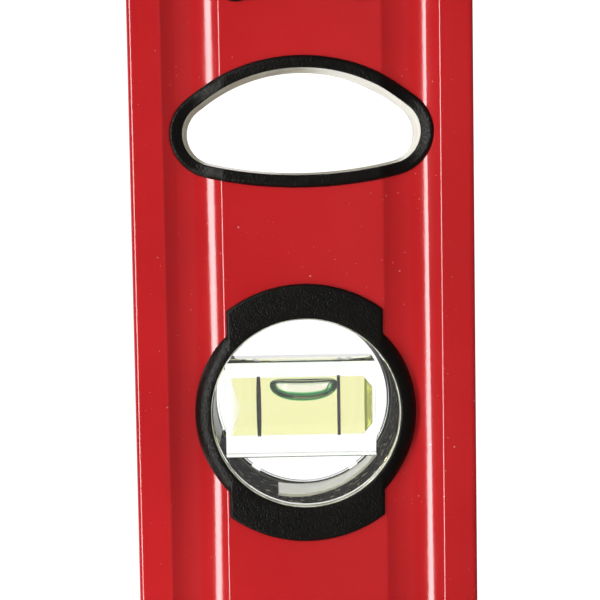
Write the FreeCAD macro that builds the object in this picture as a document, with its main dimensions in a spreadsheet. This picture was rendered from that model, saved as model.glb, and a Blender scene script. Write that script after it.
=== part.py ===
import FreeCAD, Part
import math
import os

import Sketcher
from FreeCAD import Placement, Rotation, Vector

# A 24 inch box-section spirit level, in millimetres. X runs along the level, the front face looks
# along -Y, and it stands on its bottom working face with the origin under its middle.

SIZES = {
    # beam
    "beam_length": 600.0,
    "beam_height": 60.0,
    "beam_depth": 24.0,
    "web_half": 14.1,
    "rail_start": 24.15,
    "web_recess": 0.8,
    "groove_radius": 7.4,
    "crest_radius": 0.8,
    "corner_radius": 1.0,
    "cavity_height": 54.0,
    "cavity_depth": 15.6,
    "skin": 0.8,
    "skin_reach": 40.0,
    "long_skin_reach": 80.0,
    "fit_gap": 0.1,
    # end caps
    "cap_length": 5.0,
    "cap_edge": 1.2,
    "cap_corner": 2.5,
    "plug_length": 16.0,
    "plug_wall": 2.5,
    # round plumb vial unit, measured from its own axis
    "plumb_inset": 50.0,
    "bore_radius": 16.75,
    "sleeve_wall": 1.15,
    "bezel_radius": 19.6,
    "ear_radius": 22.85,
    "ear_half": 13.75,
    "lip_radius": 16.0,
    "notch_width": 1.8,
    "notch_depth": 1.0,
    "notch_angle": 35.0,
    "lens_thick": 1.2,
    "lens_sink": 1.6,
    "lens_rise": 0.8,
    "shim_thick": 0.5,
    "shim_depth": 9.0,
    "shim_start": 37.0,
    "shim_sweep": 71.0,
    # clear vial block of the plumb unit and what it holds, along the tube (Z)
    "block_low": -12.6,
    "block_high": 14.3,
    "block_wide": 17.0,
    "block_thick": 12.0,
    "tube_radius": 5.05,
    "tube_high": 13.1,
    "end_cone": 1.7,
    "stopper_long": 2.35,
    "stopper_chamfer": 0.9,
    "line_middle": 1.1,
    "line_gap": 14.1,
    "line_wide": 0.5,
    "line_raise": 0.15,
    "bubble_middle": 0.2,
    "bubble_half": 6.0,
    "bubble_deep": 4.0,
    "bubble_gap": 0.3,
    "travel_down": 4.4,
    "travel_up": 4.6,
    # half-moon hole, across the level and along it, from its own centre
    "moon_pitch": 51.1,
    "apex_radius": 28.8,
    "apex_back": 19.5,
    "tip_radius": 5.6,
    "tip_out": 15.2,
    "tip_back": 1.9,
    "belly_radius": 72.0,
    "moon_wall": 1.0,
    "moon_rim": 2.2,
    # hand-hole
    "grip_start": 19.75,
    "grip_length": 124.0,
    "grip_half": 14.9,
    "grip_corner": 2.9,
    "grip_taper": 0.6,
    "grip_curve": 33.0,
    "grip_curve_out": 30.3,
    "grip_rim": 2.6,
    "grip_wall": 1.2,
    # centre vial unit, measured from the middle of the level
    "frame_half": 31.0,
    "frame_low": 32.0,
    "frame_rim": 2.6,
    "frame_corner": 2.5,
    "sight_half": 24.0,
    "sight_low": 36.3,
    "sight_high": 52.7,
    "sight_corner": 2.0,
    "top_half": 21.0,
    "top_wide": 9.2,
    "window_sink": 0.4,
    "window_step": 0.8,
    "long_block_half": 27.0,
    "long_tube_half": 24.0,
    "long_axis_height": 44.5,
    "long_line_gap": 17.0,
    "long_bubble_half": 7.2,
    "long_bubble_deep": 4.4,
    "long_travel": 9.0,
}

doc = FreeCAD.newDocument("spirit_level")
sheet = doc.addObject("Spreadsheet::Sheet", "dims")
for row, (alias, value) in enumerate(SIZES.items(), start=1):
    sheet.set(f"A{row}", alias)
    sheet.set(f"B{row}", str(value))
    sheet.setAlias(f"B{row}", alias)
doc.recompute()


class Size:
    """A length that knows its value and the expression over the dims sheet that gives it."""

    def __init__(self, value, text):
        self.value = value
        self.text = text

    def __add__(self, other):
        other = as_size(other)
        return Size(self.value + other.value, f"({self.text} + {other.text})")

    def __sub__(self, other):
        other = as_size(other)
        return Size(self.value - other.value, f"({self.text} - {other.text})")

    def __mul__(self, other):
        other = as_size(other)
        return Size(self.value * other.value, f"({self.text} * {other.text})")

    def __truediv__(self, other):
        other = as_size(other)
        return Size(self.value / other.value, f"({self.text} / {other.text})")

    def __neg__(self):
        return Size(-self.value, f"(0 - {self.text})")

    def __rsub__(self, other):
        return as_size(other) - self

    __radd__ = __add__
    __rmul__ = __mul__


def as_size(number):
    return number if isinstance(number, Size) else Size(float(number), f"({float(number)})")


def dim(alias):
    return Size(SIZES[alias], f"dims.{alias}")


def root(size):
    return Size(math.sqrt(size.value), f"sqrt({size.text})")


def square(size):
    return size * size


def bind(target, prop, size):
    target.setExpression(prop, as_size(size).text)


def move_to(target, x=0, y=0, z=0):
    bind(target, "Placement.Base.x", x)
    bind(target, "Placement.Base.y", y)
    bind(target, "Placement.Base.z", z)


# ---------------------------------------------------------------- sketch outlines


class Outline:
    """Lines and arcs in a sketch, whose places and radii follow the dims sheet."""

    def __init__(self, sketch):
        self.sketch = sketch

    def line(self, start, end):
        segment = Part.LineSegment(flat(start), flat(end))
        return self.sketch.addGeometry(segment, False)

    def arc(self, centre, radius, first, last):
        """Counter-clockwise, angles in degrees."""
        circle = Part.Circle(flat(centre), Vector(0, 0, 1), as_size(radius).value)
        arc = Part.ArcOfCircle(circle, math.radians(first), math.radians(last))
        return self.sketch.addGeometry(arc, False)

    def hold(self, kind, *where):
        """A dimensional constraint: where ends with its Size."""
        size = as_size(where[-1])
        index = self.sketch.addConstraint(Sketcher.Constraint(kind, *where[:-1], size.value))
        self.sketch.setExpression(f"Constraints[{index}]", size.text)

    def place(self, item, point, spot):
        self.hold("DistanceX", -1, 1, item, point, spot[0])
        self.hold("DistanceY", -1, 1, item, point, spot[1])

    def join(self, first, first_point, second, second_point):
        self.sketch.addConstraint(
            Sketcher.Constraint("Coincident", first, first_point, second, second_point)
        )

    def smooth(self, first, first_point, second, second_point):
        self.sketch.addConstraint(
            Sketcher.Constraint("Tangent", first, first_point, second, second_point)
        )


def flat(spot):
    return Vector(as_size(spot[0]).value, as_size(spot[1]).value, 0)


def hull_of_circles(sketch, circles):
    """An outline around circles given counter-clockwise as (centre, radius): arcs and tangent lines."""
    outline = Outline(sketch)
    count = len(circles)
    normals = []
    for k in range(count):
        (cx, cy), radius = circles[k]
        (nx, ny), next_radius = circles[(k + 1) % count]
        dx = as_size(nx).value - as_size(cx).value
        dy = as_size(ny).value - as_size(cy).value
        spread = (as_size(radius).value - as_size(next_radius).value) / math.hypot(dx, dy)
        normals.append(math.degrees(math.atan2(dy, dx)) - math.degrees(math.acos(spread)))
    arcs = []
    for k in range(count):
        centre, radius = circles[k]
        arcs.append(outline.arc(centre, radius, normals[k - 1], normals[k]))
        outline.place(arcs[k], 3, centre)
        outline.hold("Radius", arcs[k], radius)
    for k in range(count):
        following = (k + 1) % count
        start = touch_point(circles[k], normals[k])
        end = touch_point(circles[following], normals[k])
        line = outline.line(start, end)
        outline.smooth(arcs[k], 2, line, 1)
        outline.smooth(line, 2, arcs[following], 1)


def touch_point(circle, angle):
    (cx, cy), radius = circle
    turn = math.radians(angle)
    reach = as_size(radius).value
    return (as_size(cx).value + reach * math.cos(turn), as_size(cy).value + reach * math.sin(turn))


def rounded_rectangle(sketch, low, high, corner):
    left, right = low[0] + corner, high[0] - corner
    bottom, top = low[1] + corner, high[1] - corner
    corners = [(left, bottom), (right, bottom), (right, top), (left, top)]
    hull_of_circles(sketch, [(centre, corner) for centre in corners])


def polygon(sketch, corners):
    outline = Outline(sketch)
    count = len(corners)
    lines = [outline.line(corners[k], corners[(k + 1) % count]) for k in range(count)]
    for k in range(count):
        outline.join(lines[k], 2, lines[(k + 1) % count], 1)
        outline.place(lines[k], 1, corners[k])


def section_outline(sketch):
    """The beam's cross-section, Y across and Z up: rails, rounded grooves and a recessed web."""
    outline = Outline(sketch)
    rail = dim("beam_depth") / 2
    web = rail - dim("web_recess")
    middle = dim("beam_height") / 2
    reach = dim("groove_radius")
    half = [
        (rail, dim("rail_start") * -1),
        (web, dim("web_half") * -1),
        (web, dim("web_half")),
        (rail, dim("rail_start")),
    ]
    spots = [(rail, middle * -1)] + half + [(rail, middle)]
    spots += [(x * -1, z * -1) for x, z in spots]
    corners = [(x, z + middle) for x, z in spots]
    count = len(corners)
    groove_sides = (1, 3, 7, 9)
    pieces = []
    for k in range(count):
        start, end = corners[k], corners[(k + 1) % count]
        if k in groove_sides:
            pieces.append(groove_arc(outline, start, end, reach))
        else:
            pieces.append((outline.line(start, end), 1, 2))
    for k in range(count):
        item, tail, head = pieces[k]
        following, next_tail, _ = pieces[(k + 1) % count]
        outline.join(item, head, following, next_tail)
        outline.place(item, tail, corners[k])


def groove_arc(outline, start, end, radius):
    """An arc from start to end that dips into the beam, so it is drawn clockwise along the outline."""
    first, second = flat(start), flat(end)
    half_chord = (second - first) / 2
    reach = math.sqrt(radius.value ** 2 - half_chord.Length ** 2)
    outward = Vector(half_chord.y, -half_chord.x, 0).normalize()
    centre = first + half_chord + outward * reach
    begin = math.degrees(math.atan2(second.y - centre.y, second.x - centre.x))
    finish = math.degrees(math.atan2(first.y - centre.y, first.x - centre.x))
    if finish < begin:
        finish += 360
    item = outline.arc((centre.x, centre.y), radius, begin, finish)
    outline.hold("Radius", item, radius)
    return item, 2, 1


def moon_outline(sketch, outset):
    """The half-moon, apex towards +X: a round apex, straight shoulders, round tips and a shallow belly."""
    outline = Outline(sketch)
    apex_radius = dim("apex_radius") + outset
    tip_radius = dim("tip_radius") + outset
    belly_radius = dim("belly_radius") + outset
    apex = (-dim("apex_back"), as_size(0))
    tips = [(-dim("tip_back"), dim("tip_out") * side) for side in (-1, 1)]
    run = tips[1][0].value - apex[0].value
    rise = tips[1][1].value
    spread = (apex_radius.value - tip_radius.value) / math.hypot(run, rise)
    shoulder = math.degrees(math.atan2(rise, run)) - math.degrees(math.acos(spread))
    belly_x = tips[1][0].value + math.sqrt((belly_radius.value - tip_radius.value) ** 2 - rise ** 2)
    heel = math.degrees(math.atan2(rise, tips[1][0].value - belly_x))

    top = outline.arc(apex, apex_radius, -shoulder, shoulder)
    right_tip = outline.arc(tips[1], tip_radius, shoulder, heel)
    belly = outline.arc((belly_x, 0), belly_radius, heel, 360 - heel)
    left_tip = outline.arc(tips[0], tip_radius, 360 - heel, 360 - shoulder)
    outline.place(top, 3, apex)
    outline.place(right_tip, 3, tips[1])
    outline.place(left_tip, 3, tips[0])
    outline.hold("Radius", top, apex_radius)
    outline.hold("Radius", right_tip, tip_radius)
    outline.hold("Radius", left_tip, tip_radius)
    outline.hold("Radius", belly, belly_radius)
    round_top, round_tips = (apex, apex_radius), [(tip, tip_radius) for tip in tips]
    right = outline.line(touch_point(round_top, shoulder), touch_point(round_tips[1], shoulder))
    left = outline.line(touch_point(round_tips[0], -shoulder), touch_point(round_top, -shoulder))
    outline.smooth(top, 2, right, 1)
    outline.smooth(right, 2, right_tip, 1)
    outline.smooth(right_tip, 2, belly, 1)
    outline.smooth(belly, 2, left_tip, 1)
    outline.smooth(left_tip, 2, left, 1)
    outline.smooth(left, 2, top, 1)


def grip_outline(sketch, inset):
    """The hand-hole about its own centre: straight sides, and ends that curve inwards between two horns."""
    outline = Outline(sketch)
    half_wide = dim("grip_half") - inset
    corner = dim("grip_corner") - inset * dim("grip_taper")
    curve = dim("grip_curve") + inset
    centre_x = dim("grip_length") / 2 + dim("grip_curve_out")
    corner_z = half_wide - corner
    corner_x = centre_x - root(square(curve + corner) - square(corner_z))
    lean = math.degrees(math.atan2(corner_z.value, centre_x.value - corner_x.value))

    ends = {}
    corners = {}
    for side in (-1, 1):
        facing = 180 if side > 0 else 0
        ends[side] = outline.arc((centre_x * side, 0), curve, facing - lean, facing + lean)
        outline.place(ends[side], 3, (centre_x * side, as_size(0)))
        outline.hold("Radius", ends[side], curve)
    spans = {
        (1, 1): (-lean, 90),
        (-1, 1): (90, 180 + lean),
        (-1, -1): (180 - lean, 270),
        (1, -1): (-90, lean),
    }
    for (side, up), (first, last) in spans.items():
        corners[side, up] = outline.arc((corner_x * side, corner_z * up), corner, first, last)
        outline.hold("Radius", corners[side, up], corner)
        outline.hold("DistanceY", -1, 1, corners[side, up], 3, corner_z * up)
    top = outline.line((corner_x, half_wide), (-corner_x, half_wide))
    bottom = outline.line((-corner_x, -half_wide), (corner_x, -half_wide))
    outline.smooth(corners[1, 1], 2, top, 1)
    outline.smooth(top, 2, corners[-1, 1], 1)
    outline.smooth(corners[-1, 1], 2, ends[-1], 2)
    outline.smooth(ends[-1], 1, corners[-1, -1], 1)
    outline.smooth(corners[-1, -1], 2, bottom, 1)
    outline.smooth(bottom, 2, corners[1, -1], 1)
    outline.smooth(corners[1, -1], 2, ends[1], 2)
    outline.smooth(ends[1], 1, corners[1, 1], 1)


# ---------------------------------------------------------------- solids

ALONG_Y = Rotation(Vector(1, 0, 0), 90)
ALONG_X = Rotation(Vector(0, 1, 0), 90)
UPRIGHT = Rotation()
SECTION_PLANE = Rotation(Vector(1, 1, 1), 120)


def box(name, low, high):
    solid = doc.addObject("Part::Box", name)
    for prop, first, last in zip(("Length", "Width", "Height"), low, high):
        bind(solid, prop, as_size(last) - first)
    move_to(solid, *low)
    return solid


def cylinder(name, radius, first, last, axis="Z", beside=(0, 0)):
    """A cylinder from first to last along its axis; beside gives its place across that axis."""
    solid = doc.addObject("Part::Cylinder", name)
    bind(solid, "Radius", radius)
    bind(solid, "Height", as_size(last) - first)
    if axis == "Z":
        move_to(solid, beside[0], beside[1], first)
    elif axis == "X":
        solid.Placement = Placement(Vector(), ALONG_X)
        move_to(solid, first, beside[0], beside[1])
    else:
        solid.Placement = Placement(Vector(), ALONG_Y)
        move_to(solid, beside[0], last, beside[1])
    return solid


def cone(name, radius, tip_radius, first, length):
    solid = doc.addObject("Part::Cone", name)
    bind(solid, "Radius1", radius)
    bind(solid, "Radius2", tip_radius)
    bind(solid, "Height", length)
    move_to(solid, 0, 0, first)
    return solid


def cut(name, base, *tools):
    for k, tool in enumerate(tools):
        piece = doc.addObject("Part::Cut", f"{name}_cut_{k}")
        piece.Base = base
        piece.Tool = tool
        base = piece
    return base


def fuse(name, *pieces):
    joined = doc.addObject("Part::MultiFuse", f"{name}_fused")
    joined.Shapes = list(pieces)
    joined.Refine = True
    return joined


def common(name, first, second):
    piece = doc.addObject("Part::Common", f"{name}_common")
    piece.Base = first
    piece.Tool = second
    return piece


def prism(name, outline, front, back, *choices, x=0, z=0, turn=0):
    """The outline drawn in the XZ plane, turned about Y, taken front towards -Y and back towards +Y."""
    sketch = doc.addObject("Sketcher::SketchObject", f"{name}_outline")
    sketch.Placement = Placement(Vector(), Rotation(Vector(0, 1, 0), turn) * ALONG_Y)
    move_to(sketch, x, 0, z)
    outline(sketch, *choices)
    return extrude(name, sketch, Vector(0, -1, 0), front, back)


def extrude(name, sketch, direction, forward, backward):
    solid = doc.addObject("Part::Extrusion", f"{name}_prism")
    solid.Base = sketch
    solid.DirMode = "Custom"
    solid.Dir = direction
    solid.Solid = True
    bind(solid, "LengthFwd", forward)
    bind(solid, "LengthRev", backward)
    return solid


def origin_plane(body, role):
    return next(plane for plane in body.Origin.OriginFeatures if plane.Role == role)


def body_sketch(body, name, role):
    sketch = body.newObject("Sketcher::SketchObject", name)
    sketch.AttachmentSupport = [(origin_plane(body, role), "")]
    sketch.MapMode = "FlatFace"
    return sketch


def pad(body, sketch, length, both_ways=False):
    feature = body.newObject("PartDesign::Pad", f"{sketch.Name}_pad")
    feature.Profile = sketch
    feature.Midplane = both_ways
    bind(feature, "Length", length)
    return feature


def through_pocket(body, sketch):
    before = body.Shape.Volume
    feature = body.newObject("PartDesign::Pocket", f"{sketch.Name}_pocket")
    feature.Profile = sketch
    feature.Type = "ThroughAll"
    feature.Midplane = True
    doc.recompute()
    if feature.Shape.Volume >= before:
        raise RuntimeError(f"{feature.Name} cuts nothing")
    return feature


# ---------------------------------------------------------------- finished parts

FINISHED = []
FLIPPED = Rotation(Vector(0, 1, 0), 180)
TURNED_BACK = Rotation(Vector(1, 0, 0), 180)
HALF_TURN = Rotation(Vector(0, 0, 1), 180)


def finish(solid, label, x=0, z=0, rotation=UPRIGHT):
    """Names a sub-part and puts it in its place in the level."""
    solid.Label = label
    solid.Placement = Placement(Vector(), rotation)
    move_to(solid, x, 0, z)
    FINISHED.append(solid)


MIDDLE_HEIGHT = dim("beam_height") / 2
HALF_DEPTH = dim("beam_depth") / 2
LEVEL_HALF = dim("beam_length") / 2 + dim("cap_length")
PLUMB_X = LEVEL_HALF - dim("plumb_inset")
MOON_X = PLUMB_X - dim("moon_pitch")
GRIP_X = MOON_X - dim("grip_start") - dim("grip_length") / 2
SLEEVE_RADIUS = dim("bore_radius") + dim("sleeve_wall")
SIDES = {"left": -1, "right": 1}

# Cutting tools run this far past what they cut, and edges are found to within the tolerance.
OVERRUN = 1.0
NEAR = 0.01

# The locking shim starts this far round from -Z towards -X; a cylinder's own sweep starts at +X.
SHIM_TURN = 90 + SIZES["shim_start"]


# ---------------------------------------------------------------- beam and end caps


def beam():
    body = doc.addObject("PartDesign::Body", "beam_body")
    section = body_sketch(body, "beam_section", "YZ_Plane")
    section_outline(section)
    bar = pad(body, section, dim("beam_length"), both_ways=True)
    doc.recompute()
    soften(body, bar, "crests", dim("crest_radius"), crest_edges(bar))
    soften(body, body.Tip, "corners", dim("corner_radius"), corner_edges(body.Tip))

    cavity = body_sketch(body, "beam_cavity", "YZ_Plane")
    half_wide, half_tall = dim("cavity_depth") / 2, dim("cavity_height") / 2
    low = (-half_wide, MIDDLE_HEIGHT - half_tall)
    high = (half_wide, MIDDLE_HEIGHT + half_tall)
    rounded_rectangle(cavity, low, high, dim("corner_radius"))
    through_pocket(body, cavity)

    gap = dim("fit_gap")
    for side, sign in SIDES.items():
        vial = body_sketch(body, f"{side}_vial_hole", "XZ_Plane")
        outline = Outline(vial)
        circle = Part.Circle(Vector(PLUMB_X.value * sign, MIDDLE_HEIGHT.value, 0), Vector(0, 0, 1), 1)
        hole = vial.addGeometry(circle, False)
        outline.place(hole, 3, (PLUMB_X * sign, MIDDLE_HEIGHT))
        outline.hold("Radius", hole, SLEEVE_RADIUS + gap)
        through_pocket(body, vial)
    cut_window(body)
    solid = cut("beam", body, *beam_openings(gap))
    finish(solid, "beam")


def cut_window(body):
    window = body_sketch(body, "centre_window", "XZ_Plane")
    left, right = -dim("frame_half"), dim("frame_half")
    bottom, top = dim("frame_low"), dim("beam_height") + OVERRUN
    polygon(window, [(left, bottom), (right, bottom), (right, top), (left, top)])
    through_pocket(body, window)


def beam_openings(gap):
    """Prisms through both walls for the half-moon holes and the hand-holes."""
    moon_wall = dim("moon_wall") + gap
    grip_inset = dim("grip_rim") - dim("grip_wall") - gap
    depth = HALF_DEPTH * 2
    openings = []
    for side, sign in SIDES.items():
        turn = 0 if sign < 0 else 180
        moon_place = {"x": MOON_X * sign, "z": MIDDLE_HEIGHT, "turn": turn}
        grip_place = {"x": GRIP_X * sign, "z": MIDDLE_HEIGHT}
        openings.append(prism(f"{side}_moon_hole", moon_outline, depth, depth, moon_wall, **moon_place))
        openings.append(prism(f"{side}_grip_hole", grip_outline, depth, depth, grip_inset, **grip_place))
    return openings


def long_edges(feature, wanted):
    """The names of the edges that run along X and pass the wanted test on (Y, Z)."""
    names = []
    for number, edge in enumerate(feature.Shape.Edges, start=1):
        ends = [vertex.Point for vertex in edge.Vertexes]
        if len(ends) == 2 and abs(ends[0].x - ends[1].x) > NEAR and wanted(ends[0].y, ends[0].z):
            names.append(f"Edge{number}")
    return names


def crest_edges(feature):
    crests = (SIZES["rail_start"], SIZES["web_half"])
    middle = MIDDLE_HEIGHT.value

    def on_crest(_, z):
        return any(abs(abs(z - middle) - crest) < NEAR for crest in crests)

    return long_edges(feature, on_crest)


def corner_edges(feature):
    middle = MIDDLE_HEIGHT.value
    return long_edges(feature, lambda _, z: abs(abs(z - middle) - middle) < NEAR)


def soften(body, feature, name, radius, edges):
    fillet = body.newObject("PartDesign::Fillet", name)
    fillet.Base = (feature, edges)
    bind(fillet, "Radius", radius)
    doc.recompute()


def end_cap(side, sign):
    name = f"{side}_end_cap"
    body = doc.addObject("PartDesign::Body", f"{name}_body")
    plate = body_sketch(body, f"{name}_plate", "YZ_Plane")
    rounded_rectangle(
        plate,
        (-HALF_DEPTH, as_size(0)),
        (HALF_DEPTH, dim("beam_height")),
        dim("cap_corner"),
    )
    cap = pad(body, plate, dim("cap_length"))
    doc.recompute()
    face_edges = [
        f"Edge{number}"
        for number, edge in enumerate(cap.Shape.Edges, start=1)
        if abs(edge.CenterOfMass.x - SIZES["cap_length"]) < NEAR
    ]
    soften(body, cap, f"{name}_edge", dim("cap_edge"), face_edges)

    plug = body_sketch(body, f"{name}_plug", "YZ_Plane")
    gap = dim("fit_gap")
    half_wide = dim("cavity_depth") / 2 - gap
    half_tall = dim("cavity_height") / 2 - gap
    low = (-half_wide, MIDDLE_HEIGHT - half_tall)
    high = (half_wide, MIDDLE_HEIGHT + half_tall)
    rounded_rectangle(plug, low, high, dim("corner_radius"))
    stub = pad(body, plug, dim("plug_length"))
    stub.Reversed = True

    wall = dim("plug_wall")
    core = box(
        f"{name}_core",
        (-dim("plug_length") - OVERRUN, low[0] + wall, low[1] + wall),
        (as_size(0), high[0] - wall, high[1] - wall),
    )
    turn = HALF_TURN if sign < 0 else UPRIGHT
    finish(cut(name, body, core), name, x=dim("beam_length") / 2 * sign, rotation=turn)


# ---------------------------------------------------------------- rims that follow the beam's face


def face_bar(name, half_length, shift):
    """A bar with the beam's outer section, about its middle height, moved forwards by shift."""
    sketch = doc.addObject("Sketcher::SketchObject", f"{name}_section")
    sketch.Placement = Placement(Vector(), SECTION_PLANE)
    section_outline(sketch)
    move_to(sketch, 0, -as_size(shift), -MIDDLE_HEIGHT)
    return extrude(name, sketch, Vector(1, 0, 0), half_length, half_length)


def face_skin(name, half_length):
    """A thin layer on the front face of the beam, which ends flush with the rails."""
    outer = face_bar(f"{name}_skin_outer", half_length, dim("skin"))
    inner = face_bar(f"{name}_skin_inner", half_length, 0)
    low = (-half_length, -HALF_DEPTH, -MIDDLE_HEIGHT)
    flush = box(f"{name}_flush", low, (half_length, as_size(0), MIDDLE_HEIGHT))
    return common(f"{name}_skin", cut(f"{name}_layer", outer, inner), flush)


def moon_ring(name, skin):
    """Half of the half-moon's liner: a rim on the face and a sleeve to the middle of the beam."""
    rim = common(name, prism(f"{name}_rim", moon_outline, HALF_DEPTH * 2, 0, dim("moon_rim")), skin)
    sleeve = prism(f"{name}_sleeve", moon_outline, HALF_DEPTH - dim("web_recess"), 0, dim("moon_wall"))
    bore = prism(f"{name}_bore", moon_outline, HALF_DEPTH * 2, OVERRUN, as_size(0))
    return cut(name, fuse(name, rim, sleeve), bore)


def grip_ring(name, skin):
    """Half of the hand-hole's grip: a rim on the face and a sleeve to the middle of the beam."""
    rim = common(name, prism(f"{name}_rim", grip_outline, HALF_DEPTH * 2, 0, as_size(0)), skin)
    sleeve_inset = dim("grip_rim") - dim("grip_wall")
    sleeve = prism(f"{name}_sleeve", grip_outline, HALF_DEPTH - dim("web_recess"), 0, sleeve_inset)
    bore = prism(f"{name}_bore", grip_outline, HALF_DEPTH * 2, OVERRUN, dim("grip_rim"))
    return cut(name, fuse(name, rim, sleeve), bore)


def plumb_bezel(name, skin, lipped):
    """Half of the plumb vial's housing: a round rim with two ears, and a sleeve. The back has a lip."""
    disc = cylinder(f"{name}_disc", dim("bezel_radius"), -HALF_DEPTH * 2, 0, "Y")
    ears = cylinder(f"{name}_ears", dim("ear_radius"), -HALF_DEPTH * 2, 0, "Y")
    reach, half = dim("ear_radius"), dim("ear_half")
    band = box(f"{name}_band", (-reach, -HALF_DEPTH * 2, -half), (reach, as_size(0), half))
    rim = common(name, fuse(f"{name}_face", disc, common(f"{name}_ear", ears, band)), skin)
    sleeve_start = dim("web_recess") - HALF_DEPTH
    sleeve = cylinder(f"{name}_sleeve", SLEEVE_RADIUS, sleeve_start, 0, "Y")
    bore = cylinder(f"{name}_bore", dim("bore_radius"), -HALF_DEPTH * 2, OVERRUN, "Y")
    shell = cut(name, fuse(name, rim, sleeve), bore)
    if not lipped:
        return shell
    lip_start, lip_end = -HALF_DEPTH, dim("lens_sink") - HALF_DEPTH
    lip = cylinder(f"{name}_lip", dim("bore_radius"), lip_start, lip_end, "Y")
    mouth = cylinder(f"{name}_mouth", dim("lip_radius"), lip_start - OVERRUN, OVERRUN, "Y")
    return cut(f"{name}_lipped", fuse(f"{name}_with_lip", shell, lip), mouth, *lip_notches(name))


def lip_notches(name):
    """Four small keyways through the lip, in mirrored pairs, for turning the housing while it is set."""
    angle = SIZES["notch_angle"]
    behind_lip = dim("lens_sink") - HALF_DEPTH
    return [
        prism(f"{name}_notch_{k}", notch_outline, HALF_DEPTH * 2, behind_lip, turn=turn)
        for k, turn in enumerate((angle, 180 - angle, 180 + angle, -angle))
    ]


def notch_outline(sketch):
    half = dim("notch_width") / 2
    reach = dim("bore_radius") + dim("notch_depth")
    polygon(sketch, [(as_size(0), -half), (reach, -half), (reach, half), (as_size(0), half)])


# ---------------------------------------------------------------- vial units


def tube_rod(name, radius, low, high, cone_depth):
    """What fills a vial tube: a cylinder along Z whose upper end is hollowed by a shallow cone."""
    rod = cylinder(f"{name}_rod", radius, low, high)
    if cone_depth is None:
        return rod
    tip = cone(f"{name}_tip", 0, dim("tube_radius"), as_size(high) - cone_depth, cone_depth)
    return cut(name, rod, tip)


def bubble_solid(name, half_length, deep, middle):
    """A bubble against the +X wall of its tube: part of an ellipsoid, trimmed to the tube's round."""
    radius = dim("tube_radius") - dim("bubble_gap")
    ball = doc.addObject("Part::Ellipsoid", f"{name}_ball")
    bind(ball, "Radius1", half_length)
    bind(ball, "Radius2", deep)
    bind(ball, "Radius3", radius)
    ball.Placement = Placement(Vector(), UPRIGHT)
    move_to(ball, radius, 0, middle)
    return common(name, ball, cylinder(f"{name}_bound", radius, middle - half_length, middle + half_length))


def bubble_channel(name, deep, low, high):
    """The part of the tube that the bubble runs in, with room all round."""
    wide = dim("tube_radius")
    floor = wide - deep - dim("bubble_gap") * 2
    return box(name, (floor, -wide, low), (wide + OVERRUN, wide, high))


def line_pair(name, middle, gap, inner, outer):
    """Two thin rings round the tube, on either side of the middle."""
    rings = []
    half = dim("line_wide") / 2
    for k, side in enumerate((-1, 1)):
        centre = middle + gap / 2 * side
        solid = cylinder(f"{name}_{k}_solid", outer, centre - half, centre + half)
        hollow = cylinder(f"{name}_{k}_hollow", inner, centre - half, centre + half)
        rings.append(cut(f"{name}_{k}", solid, hollow))
    return fuse(name, *rings)


def line_grooves(name, middle, gap, outer):
    half = dim("line_wide") / 2
    centres = [middle + gap / 2 * side for side in (-1, 1)]
    return [cylinder(f"{name}_{k}", outer, c - half, c + half) for k, c in enumerate(centres)]


def chamfered_stopper(name, low, high):
    """The plug that closes the filled end of a tube, chamfered where it meets the liquid."""
    chamfer = dim("stopper_chamfer")
    radius = dim("tube_radius")
    stub = cylinder(f"{name}_stub", radius, low, high - chamfer)
    nose = cone(f"{name}_nose", radius, radius - chamfer, high - chamfer, chamfer)
    return fuse(name, stub, nose)


class Vial:
    """The lengths of one vial along its tube, which runs along Z with the bubble on its +X side."""

    def __init__(
        self, block_low, block_high, tube_high, line_middle, line_gap, middle, half, deep, down, up
    ):
        self.block_low = block_low
        self.block_high = block_high
        self.tube_high = tube_high
        self.stop = block_low + dim("stopper_long")
        self.line_middle = line_middle
        self.line_gap = line_gap
        self.bubble_middle = middle
        self.bubble_half = half
        self.bubble_deep = deep
        self.channel_low = middle - down - half - dim("bubble_gap")
        self.channel_high = middle + up + half + dim("bubble_gap")


def vial_parts(name, vial):
    """The block, liquid, bubble, lines and stopper of one vial, as a dictionary of solids."""
    radius = dim("tube_radius")
    line_radius = radius + dim("line_raise")
    half_wide, half_thick = dim("block_wide") / 2, dim("block_thick") / 2
    depth = dim("end_cone")

    blank = box(
        f"{name}_blank",
        (-half_wide, -half_thick, vial.block_low),
        (half_wide, half_thick, vial.block_high),
    )
    bore = tube_rod(f"{name}_bore", radius, vial.block_low - OVERRUN, vial.tube_high, depth)
    grooves = line_grooves(f"{name}_groove", vial.line_middle, vial.line_gap, line_radius)
    block = cut(f"{name}_block", blank, bore, *grooves)

    nose = chamfered_stopper(f"{name}_nose", vial.block_low, vial.stop)
    fill = tube_rod(f"{name}_fill", radius, vial.stop - dim("stopper_chamfer"), vial.tube_high, depth)
    channel = bubble_channel(f"{name}_channel", vial.bubble_deep, vial.channel_low, vial.channel_high)
    return {
        "vial_block": block,
        "liquid": cut(f"{name}_liquid", fill, nose, channel),
        "bubble": bubble_solid(f"{name}_bubble", vial.bubble_half, vial.bubble_deep, vial.bubble_middle),
        "graduation_lines": line_pair(f"{name}_line", vial.line_middle, vial.line_gap, radius, line_radius),
        "vial_stopper": chamfered_stopper(f"{name}_stopper", vial.block_low, vial.stop),
    }


def plumb_vial():
    return Vial(
        dim("block_low"),
        dim("block_high"),
        dim("tube_high"),
        dim("line_middle"),
        dim("line_gap"),
        dim("bubble_middle"),
        dim("bubble_half"),
        dim("bubble_deep"),
        dim("travel_down"),
        dim("travel_up"),
    )


def centre_vial():
    half = dim("long_block_half")
    travel = dim("long_travel")
    return Vial(
        -half,
        half,
        dim("long_tube_half") + dim("stopper_long") / 2,
        as_size(0),
        dim("long_line_gap"),
        as_size(0),
        dim("long_bubble_half"),
        dim("long_bubble_deep"),
        travel,
        travel,
    )


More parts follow.
